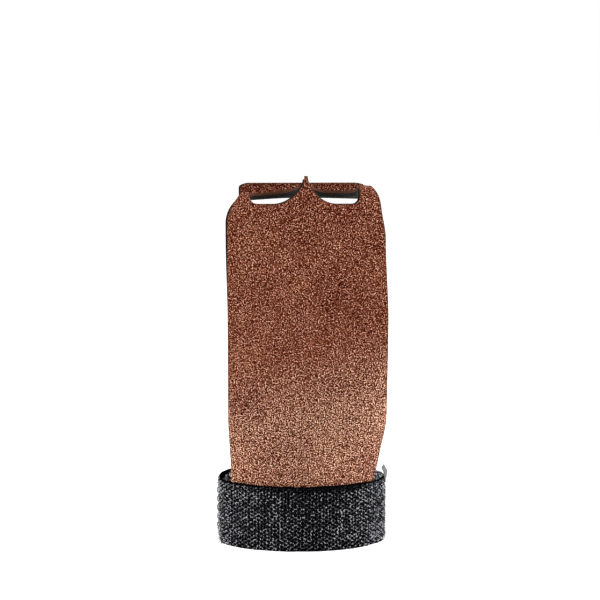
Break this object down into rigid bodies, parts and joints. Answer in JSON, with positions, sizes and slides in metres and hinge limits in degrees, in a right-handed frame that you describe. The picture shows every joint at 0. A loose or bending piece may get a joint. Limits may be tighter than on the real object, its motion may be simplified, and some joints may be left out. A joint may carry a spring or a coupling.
{
  "type": "leather hand grip",
  "caption": "Suede palm guard with finger holes, lined in black and sewn to a black hook-and-loop wrist strap, for bar work.",
  "frame": {"origin": "middle of the part seen from above, on the plane of the strap's lower edge", "axes": "+Z from the wrist to the fingers, +X to the thumb side, -Y to the palm side"},
  "size_m": [0.0658, 0.046, 0.1418],
  "materials": {
    "suede": "brown suede with a short speckled nap",
    "lining": "smooth matt black lining leather",
    "loop_tape": "black loop pile on a woven tape",
    "hook_tape": "black moulded hooks on a woven tape",
    "brown_thread": "dark brown bonded sewing thread",
    "black_thread": "black bonded sewing thread"
  },
  "bodies": {
    "wrist_band": {"wrist_strap": "loop_tape", "lining_wrist_end": "lining", "leather_wrist_end": "suede", "wrist_seam_thread": "brown_thread"},
    "palm_flap": {"lining_palm": "lining", "leather_palm": "suede"},
    "finger_loops": {"lining_finger_loops": "lining", "leather_finger_loops": "suede"},
    "closure_tab": {"strap_free_end": "loop_tape", "hook_patch": "hook_tape", "hook_patch_thread": "black_thread"}
  },
  "joints": [
    {"name": "palm_bend", "type": "hinge", "parent": "wrist_band", "child": "palm_flap", "pos_m": [0, -0.02107, 0.02515], "axis": [1, 0, 0], "range_deg": [0, 80], "stiffness_Nm_per_rad": 0.12},
    {"name": "finger_bend", "type": "hinge", "parent": "palm_flap", "child": "finger_loops", "pos_m": [0, -0.01812, 0.118], "axis": [1, 0, 0], "range_deg": [-30, 60], "stiffness_Nm_per_rad": 0.06},
    {"name": "closure_opening", "type": "hinge", "parent": "wrist_band", "child": "closure_tab", "pos_m": [-0.03032, -0.00839, 0.0125], "axis": [0, 0, 1], "range_deg": [0, 95], "stiffness_Nm_per_rad": 0.005}
  ]
}
